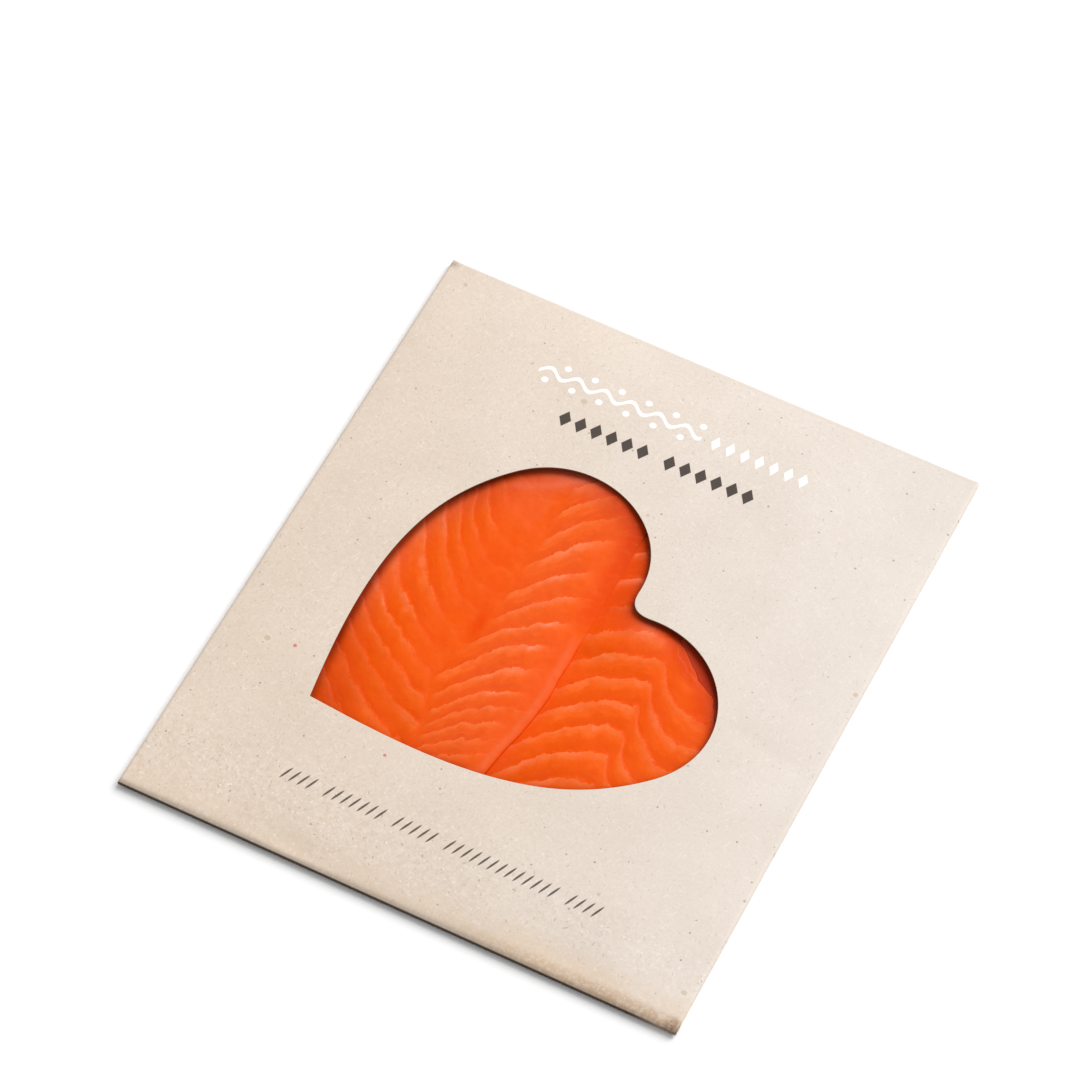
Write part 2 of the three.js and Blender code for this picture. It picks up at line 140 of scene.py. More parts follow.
def rectangle(side, near, far, along_x, along_y):
    """Outline of the sleeve set in on each side, from its near left corner round to the right."""
    right, low, high = SLEEVE_WIDTH / 2 - side, near - SLEEVE_HEIGHT / 2, SLEEVE_HEIGHT / 2 - far
    x = right * (2 * along_x - 1)
    y = low + (high - low) * along_y
    back_x = x[::-1]
    back_y = y[::-1]
    ring_x = np.concatenate([x[:-1], np.full(SIDE_STEPS, right), back_x[:-1], np.full(SIDE_STEPS, -right)])
    ring_y = np.concatenate([np.full(SIDE_STEPS, low), y[:-1], np.full(SIDE_STEPS, high), back_y[:-1]])
    return ring_x, ring_y


def fold_rings(inset, along_x, along_y):
    """Rings round the folds: a half turn from the back panel to the front one, shrunk by the inset."""
    rings = []
    for angle in np.linspace(-math.pi / 2, math.pi / 2, FOLD_STEPS + 1):
        shrink = 1 - math.cos(angle)
        side = inset + (SIDE_FOLD - inset) * shrink
        roll = NEAR_FOLD if angle > 0 else UNDER_FOLD
        near = inset + (roll - inset) * shrink
        x, y = rectangle(side, near, side, along_x, along_y)
        half = EDGE_THICKNESS / 2
        z = half + (half - inset) * math.sin(angle)
        blend = float(ease(0, math.pi / 2, angle))
        rings.append(np.stack([x, y, z + (front_height(x, y) - inset - z) * blend], axis=1))
    return rings


def panel_rings(outer, window_x, window_y, inset, shares):
    """Rings over the front panel, each a share of the way from the folds to the window's edge."""
    rings = []
    for share in shares:
        x = outer[:, 0] + (window_x - outer[:, 0]) * share
        y = outer[:, 1] + (window_y - outer[:, 1]) * share
        rings.append(np.stack([x, y, front_height(x, y) - inset], axis=1))
    return rings


def mesh_piece(name, points, faces, node):
    """Turns points in millimetres and faces into a smooth mesh that rides on the pack for a node."""
    mesh = bpy.data.meshes.new(name)
    mesh.from_pydata((points * MM).tolist(), [], faces)
    mesh.polygons.foreach_set("use_smooth", np.ones(len(mesh.polygons), bool))
    mesh.validate()
    mesh.update()
    piece = bpy.data.objects.new(name, mesh)
    bpy.context.collection.objects.link(piece)
    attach(piece, "root")
    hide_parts(node)
    return piece


def ring_faces(rings, count):
    """Quads between neighbouring rings of equally many points."""
    step = np.arange(count)
    after = (step + 1) % count
    base = (np.arange(rings - 1) * count)[:, None]
    quads = np.stack([base + step, base + after, base + count + after, base + count + step], axis=-1)
    return quads.reshape(-1, 4).tolist()


def back_panel(first, ring, along_x, along_y):
    """Back panel: a grid that shares its border with the first fold ring, with a groove at the flap."""
    n = SIDE_STEPS
    index = np.zeros((n + 1, n + 1), int)
    inner = np.arange((n - 1) * (n - 1)).reshape(n - 1, n - 1)
    index[1:-1, 1:-1] = first + inner
    index[0, :-1] = np.arange(n)
    index[:-1, -1] = n + np.arange(n)
    index[-1, ::-1][:-1] = 2 * n + np.arange(n)
    index[::-1, 0][:-1] = 3 * n + np.arange(n)
    low, high = ring.min(axis=0), ring.max(axis=0)
    x, y = np.meshgrid(low[0] + (high[0] - low[0]) * along_x, low[1] + (high[1] - low[1]) * along_y)
    z = SEAM_DEPTH * (1 - ease(0.25, 0.65, np.abs(y - SEAM_HEIGHT))) * (1 - ease(84, 86, np.abs(x)))
    points = np.stack([x, y, z], axis=-1)[1:-1, 1:-1].reshape(-1, 3)
    quads = np.stack([index[:-1, :-1], index[1:, :-1], index[1:, 1:], index[:-1, 1:]], axis=-1)
    return points, quads.reshape(-1, 4).tolist()


CUT_DROPS = (0.06, 0.10, 0.45, 0.50)
UNDER_SHARES = (0.999, 0.99, 0.9, 0.75, 0.5, 0.25)


def sleeve_mesh():
    """Whole skin of the board: back, folds, front, the window's cut edge, and the inside back to the tray."""
    along_x = np.linspace(0.0, 1.0, SIDE_STEPS + 1)
    seam = (SEAM_HEIGHT + np.array([-0.7, -0.35, 0.35, 0.7]) + SLEEVE_HEIGHT / 2) / SLEEVE_HEIGHT
    along_y = np.sort(np.concatenate([np.linspace(0.0, 1.0, SIDE_STEPS - 3), seam]))
    window_x, window_y = window_outline(SIDE_STEPS)
    outer = fold_rings(0.0, along_x, along_y)
    inner = fold_rings(BOARD, along_x, along_y)
    shares = 1 - (1 - np.linspace(0, 1, PANEL_STEPS + 1)[1:]) ** 1.25
    shares = np.concatenate([shares[:-1] * 0.992, [0.9965, 0.9990]])
    top = panel_rings(outer[-1], window_x, window_y, 0.0, shares)
    edge = [panel_rings(outer[-1], window_x, window_y, drop, [1.0])[0] for drop in CUT_DROPS]
    under = panel_rings(inner[-1], window_x, window_y, BOARD, UNDER_SHARES)
    rings = outer + top + edge + under + inner[::-2]
    count = 4 * SIDE_STEPS
    points = np.concatenate(rings)
    back, back_faces = back_panel(len(points), rings[0], along_x, along_y)
    points = np.concatenate([points, back, [(0.0, 0.0, BOARD)]])
    faces = ring_faces(len(rings), count) + back_faces
    cut = np.zeros(len(points))
    cut[(len(outer) + len(top)) * count:len(rings) * count] = 1.0
    last = (len(rings) - 1) * count
    step = np.arange(count)
    fan = np.stack([np.full(count, len(points) - 1), last + step, last + (step + 1) % count], axis=1)
    faces += fan.tolist()
    return points, faces, cut


sleeve_points, sleeve_faces, sleeve_cut = sleeve_mesh()
sleeve = mesh_piece("board_sleeve", sleeve_points, sleeve_faces, "sleeve")
sleeve.data.attributes.new("cut", "FLOAT", "POINT").data.foreach_set("value", sleeve_cut.astype(np.float32))


def new_material(name):
    """Empty node material: its tree, its Principled shader and its surface output."""
    material = bpy.data.materials.new(name)
    material.use_nodes = True
    tree = material.node_tree
    shader = tree.nodes["Principled BSDF"]
    return material, tree, shader


def feed(tree, socket, value):
    """Links an output to a socket, or sets the socket's own value."""
    if isinstance(value, bpy.types.NodeSocket):
        tree.links.new(value, socket)
    elif hasattr(socket.default_value, "__len__") and not hasattr(value, "__len__"):
        socket.default_value = [value] * len(socket.default_value)
    else:
        socket.default_value = value


def put(tree, kind, inputs=None, **settings):
    """Adds a node, sets its options and feeds its inputs by name or number."""
    node = tree.nodes.new(kind)
    for key, value in settings.items():
        setattr(node, key, value)
    for key, value in (inputs or {}).items():
        feed(tree, node.inputs[key], value)
    return node


def calc(tree, operation, *values):
    """One arithmetic step on numbers or outputs."""
    return put(tree, "ShaderNodeMath", dict(enumerate(values)), operation=operation).outputs[0]


def product(tree, *values):
    """Numbers or outputs multiplied together."""
    result = values[0]
    for value in values[1:]:
        result = calc(tree, "MULTIPLY", result, value)
    return result


def span(tree, value, low, high, out_low=0.0, out_high=1.0):
    """Eased change from one number to another as a value passes from low to high."""
    inputs = {"Value": value, "From Min": low, "From Max": high, "To Min": out_low, "To Max": out_high}
    return put(tree, "ShaderNodeMapRange", inputs, interpolation_type="SMOOTHSTEP").outputs["Result"]


def blend(tree, share, first, second, kind="MIX"):
    """Mixes two colours by a share."""
    node = put(tree, "ShaderNodeMix", data_type="RGBA", blend_type=kind)
    feed(tree, node.inputs["Factor"], share)
    feed(tree, node.inputs["A"], first)
    feed(tree, node.inputs["B"], second)
    return node.outputs["Result"]


def rgb(red, green, blue):
    """A colour seen on screen, 0 to 255, as the shader's linear numbers."""
    scaled = [value / 255.0 for value in (red, green, blue)]
    linear = [v / 12.92 if v <= 0.04045 else ((v + 0.055) / 1.055) ** 2.4 for v in scaled]
    return (*linear, 1.0)


def grain(tree, coordinates, scale, detail=2.0, roughness=0.5):
    """Noise value at a scale in features per metre."""
    inputs = {"Vector": coordinates, "Scale": scale, "Detail": detail, "Roughness": roughness}
    return put(tree, "ShaderNodeTexNoise", inputs).outputs["Fac"]


FIBRE_STRETCH = (0.28, 1.0, 0.4)
FIBRE_BEND = (0.004, 0.004, 0.004)


def vector_calc(tree, operation, first, second):
    """One arithmetic step on two vectors."""
    return put(tree, "ShaderNodeVectorMath", {0: first, 1: second}, operation=operation).outputs[0]


def fibre_group():
    """Node group: short fibres lying one way, as noise stretched along a turned axis, kept above a level."""
    group = bpy.data.node_groups.new("pulp fibres", "ShaderNodeTree")
    group.interface.new_socket(name="Vector", in_out="INPUT", socket_type="NodeSocketVector")
    for name in ("Turn", "Scale", "Level"):
        group.interface.new_socket(name=name, in_out="INPUT", socket_type="NodeSocketFloat")
    group.interface.new_socket(name="Fibres", in_out="OUTPUT", socket_type="NodeSocketFloat")
    inside = group.nodes.new("NodeGroupInput").outputs
    outside = group.nodes.new("NodeGroupOutput").inputs
    warp = put(group, "ShaderNodeTexNoise", {"Vector": inside["Vector"], "Scale": 140.0}).outputs["Color"]
    bend = vector_calc(group, "MULTIPLY", warp, FIBRE_BEND)
    bent = vector_calc(group, "ADD", inside["Vector"], bend)
    turning = {"Vector": bent, "Angle": inside["Turn"]}
    turned = put(group, "ShaderNodeVectorRotate", turning, rotation_type="Z_AXIS").outputs[0]
    stretched = vector_calc(group, "MULTIPLY", turned, FIBRE_STRETCH)
    above = calc(group, "SUBTRACT", grain(group, stretched, inside["Scale"], 1.0), inside["Level"])
    mask = put(group, "ShaderNodeMath", {0: above, 1: 12.0}, operation="MULTIPLY", use_clamp=True).outputs[0]
    group.links.new(mask, outside["Fibres"])
    return group


def fibres(tree, group, coordinates, turn, scale, level):
    """Places the fibre group in a material."""
    inputs = {"Vector": coordinates, "Turn": turn, "Scale": scale, "Level": level}
    node = tree.nodes.new("ShaderNodeGroup")
    node.node_tree = group
    for name, value in inputs.items():
        feed(tree, node.inputs[name], value)
    return node.outputs["Fibres"]


def spots(tree, coordinates, scale, share, small, large):
    """Scattered specks: the nearest cell's point within a radius, kept in a share of the cells."""
    inputs = {"Vector": coordinates, "Scale": scale, "Randomness": 1.0}
    cells = put(tree, "ShaderNodeTexVoronoi", inputs, voronoi_dimensions="2D")
    picked = put(tree, "ShaderNodeSeparateColor", {"Color": cells.outputs["Color"]})
    kept = calc(tree, "LESS_THAN", picked.outputs["Red"], share)
    radius = span(tree, picked.outputs["Green"], 0.0, 1.0, small, large)
    inner = product(tree, radius, 0.6)
    near = span(tree, cells.outputs["Distance"], inner, radius, 1.0, 0.0)
    return product(tree, kept, near)


def within(tree, value, low, high, soft=0.12):
    """1 between two places and 0 outside them, with soft ends."""
    start = span(tree, value, low - soft, low + soft)
    end = span(tree, value, high - soft, high + soft, 1.0, 0.0)
    return product(tree, start, end)


def stroke(tree, distance, half_width, soft=0.1):
    """1 on a line of a given half width and 0 away from it."""
    return span(tree, calc(tree, "ABSOLUTE", distance), half_width - soft, half_width + soft, 1.0, 0.0)


def lozenges(tree, x, y, start, pitch, count, level, half_width, half_height):
    """Row of upright lozenges: |x| over half width plus |y| over half height is under 1, at a pitch."""
    moved = calc(tree, "SUBTRACT", x, start)
    across = calc(tree, "DIVIDE", calc(tree, "PINGPONG", moved, pitch / 2), half_width)
    upright = calc(tree, "DIVIDE", calc(tree, "ABSOLUTE", calc(tree, "SUBTRACT", y, level)), half_height)
    inside = span(tree, calc(tree, "ADD", across, upright), 0.94, 1.06, 1.0, 0.0)
    row = within(tree, x, start - pitch / 2, start + pitch * (count - 0.5))
    return product(tree, inside, row)


def either(tree, *masks):
    """The larger of several masks."""
    result = masks[0]
    for mask in masks[1:]:
        result = calc(tree, "MAXIMUM", result, mask)
    return result


RIBBON_LEVEL, RIBBON_WAVE, RIBBON_SWING = 83.4, 9.2, 1.5
RIBBON_ENDS = (-47.0, 8.2)
DOT_RISE = 3.6


def white_print(tree, x, y):
    """White ornament: a low wavy ribbon with a dot in each of its bends, then a row of slim lozenges."""
    wave = calc(tree, "SINE", product(tree, x, 2 * math.pi / RIBBON_WAVE))
    level = calc(tree, "SUBTRACT", y, RIBBON_LEVEL)
    ribbon = stroke(tree, calc(tree, "SUBTRACT", level, product(tree, wave, RIBBON_SWING)), 0.75)
    quarter = RIBBON_WAVE / 4
    beside = calc(tree, "PINGPONG", calc(tree, "SUBTRACT", x, quarter), quarter)
    above = calc(tree, "SUBTRACT", calc(tree, "ABSOLUTE", level), DOT_RISE)
    reach = calc(tree, "ADD", product(tree, beside, beside), product(tree, above, above))
    opposite = calc(tree, "LESS_THAN", product(tree, level, wave), 0.0)
    dots = product(tree, span(tree, reach, 0.9, 1.5, 1.0, 0.0), opposite)
    border = product(tree, either(tree, ribbon, dots), within(tree, x, *RIBBON_ENDS))
    size = {"pitch": 4.9, "count": 7, "level": 82.8, "half_width": 1.5, "half_height": 2.9}
    return either(tree, border, lozenges(tree, x, y, 13.0, **size))


def dark_print(tree, x, y):
    """Dark ornament: two groups of six upright lozenges."""
    size = {"pitch": 5.25, "count": 6, "level": 69.0, "half_width": 2.0, "half_height": 3.2}
    return either(tree, *[lozenges(tree, x, y, start, **size) for start in (-31.6, 3.7)])


GRAIN_GROUPS = ((-49.0, -37.0), (-34.8, -14.6), (-12.4, 1.6), (3.8, 40.8), (43.0, 54.6))


def fine_print(tree, x, y):
    """Fine dark ornament: slanted grains in five groups, as ellipses of y and of x less a share of y."""
    level = calc(tree, "SUBTRACT", y, -85.4)
    slanted = calc(tree, "SUBTRACT", x, product(tree, level, 0.45))
    across = calc(tree, "DIVIDE", calc(tree, "PINGPONG", slanted, 1.4), 0.36)
    upright = calc(tree, "DIVIDE", level, 2.2)
    reach = calc(tree, "ADD", product(tree, across, across), product(tree, upright, upright))
    grains = span(tree, reach, 0.7, 1.5, 1.0, 0.0)
    groups = [within(tree, slanted, low, high) for low, high in GRAIN_GROUPS]
    return product(tree, grains, either(tree, *groups))


WARM_PULP = rgb(224, 207, 190)
COOL_SHEEN_TONE = rgb(226, 216, 207)
DARK_PULP = rgb(176, 156, 136)
PALE_FIBRE = rgb(246, 240, 232)
DARK_FIBRE = rgb(138, 120, 102)
SPECK = rgb(96, 82, 72)
OCHRE = rgb(172, 136, 92)
RED_SPECK = rgb(205, 84, 84)
HANDLED = rgb(220, 198, 175)
SCUFF = rgb(140, 112, 88)
RUBBED = rgb(192, 164, 136)
# Painted shade: dark under the near fold, and greyer along the far fold.
FOLD_UNDERSIDE_SHADE = rgb(56, 44, 37)
FAR_EDGE_SHADE = rgb(212, 201, 193)
# Partly the board's bare core, partly painted shade on the window's cut edge and the inside.
CORE_AND_SHADE = rgb(112, 88, 68)
WHITE_INK = rgb(252, 250, 247)
DARK_INK = rgb(52, 40, 36)
FINE_INK = rgb(84, 70, 64)
SPECKS = (
    (260.0, 0.18, 0.03, 0.08, 0.30, DARK_FIBRE),
    (115.0, 0.40, 0.02, 0.050, 0.50, SPECK),
    (24.0, 0.30, 0.015, 0.03, 0.35, OCHRE),
)
RED_SPECKS = (((-65.8, -44.6, 5.1), 0.9), ((-24.8, -66.9, 5.2), 0.7))
SCUFFED_CORNERS = ((-89.3, 109.3, 2.4), (88.4, -108.8, 2.6))


def around(tree, place, point, inner, outer):
    """A soft ball about a point in millimetres: 0.8 within the inner radius and 0 from the outer one on."""
    centre = [value * MM for value in point]
    away = put(tree, "ShaderNodeVectorMath", {0: place, 1: centre}, operation="DISTANCE").outputs["Value"]
    return span(tree, away, inner * MM, outer * MM, 0.8, 0.0)


def pulp_colour(tree, place, x, y, pale, dark):
    """Pulp: warm at the left, cooler and lighter at the right as painted sheen, with clouds, grain, fibres
    and specks, rougher towards the near fold.
    """
    near = span(tree, y, -62.0, -98.0)
    # Painted sheen: the tone turns cooler and a little lighter towards the lamp at the back right.
    aside = calc(tree, "ADD", product(tree, x, 0.0062), product(tree, y, 0.0022))
    colour = blend(tree, span(tree, aside, -0.65, 0.75), WARM_PULP, COOL_SHEEN_TONE)
    clouds = span(tree, grain(tree, place, 45.0, 3.0), 0.3, 0.7, 0.0, 0.09)
    colour = blend(tree, clouds, colour, DARK_PULP)
    fine = span(tree, grain(tree, place, 1300.0, 2.0), 0.35, 0.7)
    fine = product(tree, fine, span(tree, x, 20.0, 80.0, 0.13, 0.07))
    colour = blend(tree, fine, colour, DARK_PULP)
    fibre_share = product(tree, pale, span(tree, near, 0.0, 1.0, 0.23, 0.27))
    colour = blend(tree, fibre_share, colour, PALE_FIBRE)
    flecks = spots(tree, place, 430.0, 0.35, 0.07, 0.20)
    flecks = product(tree, flecks, span(tree, near, 0.0, 1.0, 0.10, 0.42))
    colour = blend(tree, flecks, colour, PALE_FIBRE)
    depth = calc(tree, "ADD", span(tree, near, 0.0, 1.0, 0.0, 0.22), span(tree, x, -70.0, 75.0, 0.38, 0.24))
    colour = blend(tree, product(tree, dark, depth), colour, DARK_FIBRE)
    rough = calc(tree, "ADD", span(tree, near, 0.0, 1.0, 0.05, 0.32), span(tree, x, 30.0, -70.0, 0.0, 0.07))
    colour = blend(tree, rough, colour, grain(tree, place, 520.0, 4.0, 0.75), "OVERLAY")
    for scale, share, small, large, strength, tone in SPECKS:
        specks = spots(tree, place, scale, share, small, large)
        colour = blend(tree, product(tree, specks, strength), colour, tone)
    return colour


def wear_and_shade_colour(tree, place, x, y, z, colour):
    """Wear: a handled and rubbed near fold and two scuffed corners, with painted shade under the near fold
    and along the far edge.
    """
    wear = span(tree, grain(tree, place, 900.0, 4.0, 0.7), 0.35, 0.6, 0.45, 1.0)
    blotch = span(tree, grain(tree, place, 60.0, 3.0, 0.6), 0.35, 0.65, 0.4, 1.0)
    handled = product(tree, span(tree, y, -96.0, -106.0), span(tree, x, -70.0, 50.0, 0.35, 1.0))
    colour = blend(tree, product(tree, handled, blotch, wear), colour, HANDLED)
    rubbed = product(tree, span(tree, y, -104.5, -108.0), span(tree, x, -10.0, 80.0, 0.12, 0.95))
    colour = blend(tree, product(tree, rubbed, wear), colour, RUBBED)
    for corner in SCUFFED_CORNERS:
        scuffed = product(tree, around(tree, place, corner, 0.4, 4.0), wear)
        colour = blend(tree, scuffed, colour, SCUFF)
    # Painted shade: the lower half of the near fold is darkened where it turns away from the light.
    under = product(tree, span(tree, y, -106.0, -108.0), span(tree, z, 2.3, 1.8))
    colour = blend(tree, product(tree, under, span(tree, x, 74.0, 85.0, 0.95, 0.6)), colour, FOLD_UNDERSIDE_SHADE)
    # Painted shade: the far fold is turned greyer.
    return blend(tree, span(tree, y, 107.6, 109.4, 0.0, 0.6), colour, FAR_EDGE_SHADE)


def board_material():
    """Recycled board: pulp, wear, painted shade, the window's cut edge and the inside in a dark colour that
    is partly bare core and partly painted shade, and print, all matt and felted.
    """
    material, tree, shader = new_material("recycled board")
    place = put(tree, "ShaderNodeTexCoord").outputs["Object"]
    metres = put(tree, "ShaderNodeSeparateXYZ", {"Vector": place})
    x, y, z = [product(tree, metres.outputs[axis], 1000.0) for axis in "XYZ"]
    group = fibre_group()
    pale = either(
        tree,
        fibres(tree, group, place, 0.5, 1400.0, 0.645),
        fibres(tree, group, place, 1.9, 1300.0, 0.65),
        spots(tree, place, 360.0, 0.08, 0.06, 0.15),
    )
    dark = either(
        tree,
        fibres(tree, group, place, 1.2, 1700.0, 0.70),
        fibres(tree, group, place, 2.3, 1900.0, 0.71),
    )
    colour = pulp_colour(tree, place, x, y, pale, dark)
    for spot, radius in RED_SPECKS:
        colour = blend(tree, around(tree, place, spot, 0.4 * radius, radius), colour, RED_SPECK)
    colour = wear_and_shade_colour(tree, place, x, y, z, colour)
    # Cut edge and inside: dark, partly the bare core and partly painted shade under the window's edge.
    core = put(tree, "ShaderNodeAttribute", attribute_name="cut").outputs["Fac"]
    colour = blend(tree, core, colour, CORE_AND_SHADE)
    front = product(tree, span(tree, z, 2.4, 3.0), 0.93)
    for ornament, ink in ((white_print, WHITE_INK), (dark_print, DARK_INK), (fine_print, FINE_INK)):
        colour = blend(tree, product(tree, ornament(tree, x, y), front), colour, ink)
    feed(tree, shader.inputs["Base Color"], colour)
    roughness = span(tree, grain(tree, place, 300.0), 0.3, 0.7, 0.78, 0.92)
    feed(tree, shader.inputs["Roughness"], roughness)
    shader.inputs["Specular IOR Level"].default_value = 0.2
    felt = calc(tree, "ADD", grain(tree, place, 1500.0, 4.0, 0.6), product(tree, pale, 0.2))
    bump = put(tree, "ShaderNodeBump", {"Strength": 0.25, "Distance": 0.0001, "Height": felt})
    feed(tree, shader.inputs["Normal"], bump.outputs["Normal"])
    return material


sleeve.data.materials.append(board_material())

# Left slice: the largest slice of cold smoked salmon, cut thin along the side. Its sheets of muscle show as
# bands that run down from the left into a calm valley and climb out of it to the right, each pale along
# its raised, torn edge. Its cut edge lies over the next slice. It is built about the fish's own middle.
FISH_MIDDLE = (0.8, -0.75)
FALLING_BANDS = np.array([
    80, 70, 60, 50, 40, 30, 20, 11.5, 2.6, -5.8,
    -15.5, -25.5, -32.5, -42, -50.5, -59.5, -69.8, -80, -92, -110.0,
])
CLIMBING_BANDS = np.array([
    84, 74, 67, 56.5, 46, 36, 25.5, 14.8, 3, -7.6, -17.8,
    -32, -39.8, -45.4, -49.6, -54.2, -59.6, -65, -70.5, -76, -82, -92.0,
])
LEFT_NEAR, LEFT_FAR = -70.0, 67.0
LEFT_SHOWN = (-61.0, 58.0)
LEFT_BORDER, LEFT_VIEW = -68.0, -61.0
LEFT_LEVEL, LEFT_STEP = 3.6, 3.4
LEFT_ROUND = 2.2
LEFT_ROUND_PLACES = np.array([0.2, 0.4, 0.58, 0.72, 0.83, 0.91, 0.96, 0.99, 1.0])
TRAY = BOARD + 0.3
RIDGE = 0.22
SHADE_RIM_REACH = 1.5
SHEEN_REACH = 5.0
SHRINKS = (1.0, 0.97, 0.88, 0.74, 0.58, 0.40, 0.20)


def falling_lines(x):
    """Raised edges on the left: flat in the valley, then up to the left by 0.45 d + b d^2, b larger far."""
    level = FALLING_BANDS[:, None, None]
    bend = 0.009 + 0.036 * ease(-42, 5, level)
    away = -28 + 3 * ease(-34, -44, level) - x
    along = (away + np.sqrt(away ** 2 + 9)) / 2
    return level + 0.45 * along + bend * along ** 2


def climbing_lines(x):
    """Raised edges right of the valley: up to the right as tanh, by a given rise from its edge to x = -6."""
    level = CLIMBING_BANDS[:, None, None]
    start = -20.5 - 5 * np.exp(-((level + 32) / 15) ** 2)
    swell = 6 * np.exp(-((level + 34) / 10) ** 2)
    rise = 11.5 + 4.3 * ease(-58, -40, level) + swell + 1.5 * ease(0, 20, level)
    reach = np.tanh(np.maximum(0.0, (x - start) / 17)) ** 1.1
    return level + rise * reach / np.tanh((-6 - start) / 17) ** 1.1


def valley_edge(y):
    """Where the climbing bands start: near x = -20, further left around y = -30."""
    return -20.3 - 6.2 * np.exp(-((y + 30) / 17) ** 2)


def band_places(lines, y):
    """Distance down from a point's own band edge, up from the next one, and the count of bands passed."""
    number = np.clip((lines > y[None]).sum(axis=0), 1, len(lines) - 1)
    upper = np.take_along_axis(lines, number[None] - 1, axis=0)[0]
    lower = np.take_along_axis(lines, number[None], axis=0)[0]
    below, above = np.maximum(upper - y, 0.0), np.maximum(y - lower, 0.0)
    return below, above, number + below / (below + above + 1e-6)


def ragged(x, y, seed):
    """Torn line of a band's edge: a slow bend, short steps across the band, and fine teeth."""
    steps = 0.95 * np.round(mottle(x * 1.1, y * 0.35, 2.3, seed + 1) * 2.2) / 2.2
    return 0.45 * mottle(x, y, 9.0, seed) + steps + 0.30 * mottle(x, y, 0.9, seed + 2)


def ridge(below, above):
    """Relief of the bands: up over the last 0.9 mm before an edge, then down as e to the minus d over 4.5."""
    return RIDGE * np.maximum(np.exp(-below / 4.5), ease(0.9, 0.0, above))


def left_cut_edge(y):
    """The cut edge is nearly straight and leans left towards the near side."""
    return 7.4 - 5.2 * ease(-24, -62, y) + 0.20 * mottle(y * 0, y, 6.0, 31)


def overlap_fade(y):
    """1 where the cut edge thins out and lies flush on the next slice, 0 where it ends as a rounded rim."""
    return ease(-6, 2, y)


def margin_fall(x, y):
    """Slices sink by half a millimetre towards their hidden margins."""
    return 0.5 * ease(50, 67, np.hypot(x, y))


def window_nearness(x, y, reach):
    """Bell over the distance to the window's edge: e to the minus squared distance over squared reach."""
    edge_x, edge_y = window_outline(SIDE_STEPS)
    nearest = np.full(np.shape(x), np.inf)
    for along, up in zip(edge_x - FISH_MIDDLE[0], edge_y - FISH_MIDDLE[1]):
        nearest = np.minimum(nearest, (x - along) ** 2 + (y - up) ** 2)
    return np.exp(-nearest / reach ** 2)


def rounded_corners(y, near, far, radius):
    """How far a quarter circle pulls a border in, past the starts of its near and far rounded corners."""
    past = np.maximum(0, np.maximum(y - far, near - y))
    return radius - np.sqrt(np.maximum(0, radius ** 2 - past ** 2))


def rounded_rim(full, under, inward, radius):
    """Height by a cut edge: an ellipse from half height at the edge to the full height a radius inward."""
    half = (full + under) / 2
    return half + (full - half) * np.sqrt(1 - (1 - np.clip(inward / radius, 0, 1)) ** 2)


def slab_faces(rows, columns, skirts):
    """Quads of a top grid, of skirts round its border, and a fan that closes the underside."""
    index = np.arange(rows * columns).reshape(rows, columns)
    top = np.stack([index[:-1, :-1], index[1:, :-1], index[1:, 1:], index[:-1, 1:]], axis=-1).reshape(-1, 4)
    border = np.concatenate([index[0, :-1], index[:-1, -1], index[-1, :0:-1], index[:0:-1, 0]])
    count = len(border)
    loops = [border] + [rows * columns + k * count + np.arange(count) for k in range(skirts)]
    sides = [np.stack([a, np.roll(a, -1), np.roll(b, -1), b], axis=1) for a, b in zip(loops[:-1], loops[1:])]
    middle = rows * columns + skirts * count
    fan = np.stack([loops[-1], np.roll(loops[-1], -1), np.full(count, middle)], axis=1)
    return np.concatenate([top] + sides).tolist() + fan.tolist(), border


def slab_points(x, y, z, underside, centre, border):
    """Points of a slab: the top grid, then rings on its underside that shrink to a centre point."""
    flat = np.stack([x, y, z], axis=-1).reshape(-1, 3)
    edge = flat[border]
    rings = []
    for shrink in SHRINKS:
        ring_x = centre[0] + (edge[:, 0] - centre[0]) * shrink
        ring_y = centre[1] + (edge[:, 1] - centre[1]) * shrink
        rings.append(np.stack([ring_x, ring_y, underside(ring_x, ring_y)], axis=1))
    middle = np.array([[centre[0], centre[1], float(underside(np.array(centre[0]), np.array(centre[1])))]])
    return np.concatenate([flat] + rings + [middle]) + (*FISH_MIDDLE, 0.0)


def keep_masks(piece, band, masks, extra):
    """Stores the band place and each mask of the top grid as attributes, with 0 on the underside."""
    clipped = {name: np.clip(values, 0, 1) for name, values in masks.items()}
    for name, values in {"band": band, **clipped}.items():
        attribute = piece.data.attributes.new(name, "FLOAT", "POINT")
        padded = np.concatenate([values.reshape(-1), np.zeros(extra)])
        attribute.data.foreach_set("value", padded.astype(np.float32))


def left_underside(x, y):
    """Lies on the tray at the left, steps up over the right slice, and comes down on it under its rim."""
    edge = left_cut_edge(y)
    rim = 0.84 * (1 - overlap_fade(y)) * ease(edge - 1.2, edge, x)
    return TRAY + (LEFT_STEP - TRAY) * ease(-22, -12, x) - rim


def left_grid():
    """Rows from far to near: hidden columns, even ones over the window, and close ones round the cut edge."""
    low, high = LEFT_SHOWN
    far, near = np.linspace(LEFT_FAR, high, 8), np.linspace(low, LEFT_NEAR, 8)
    y = np.concatenate([far[:-1], np.linspace(high, low, 400), near[1:]])[:, None]
    start = LEFT_BORDER + rounded_corners(y, -44, 41, 26)
    edge = left_cut_edge(y)
    hidden = start + (LEFT_VIEW - start) * np.linspace(0, 1, 7)[None, :-1]
    shown = LEFT_VIEW + (edge - LEFT_ROUND - LEFT_VIEW) * np.linspace(0, 1, 198)[None]
    rim = edge - LEFT_ROUND * (1 - LEFT_ROUND_PLACES[None])
    x = np.concatenate([hidden, shown, rim], axis=1)
    return x, np.broadcast_to(y, x.shape).copy(), edge


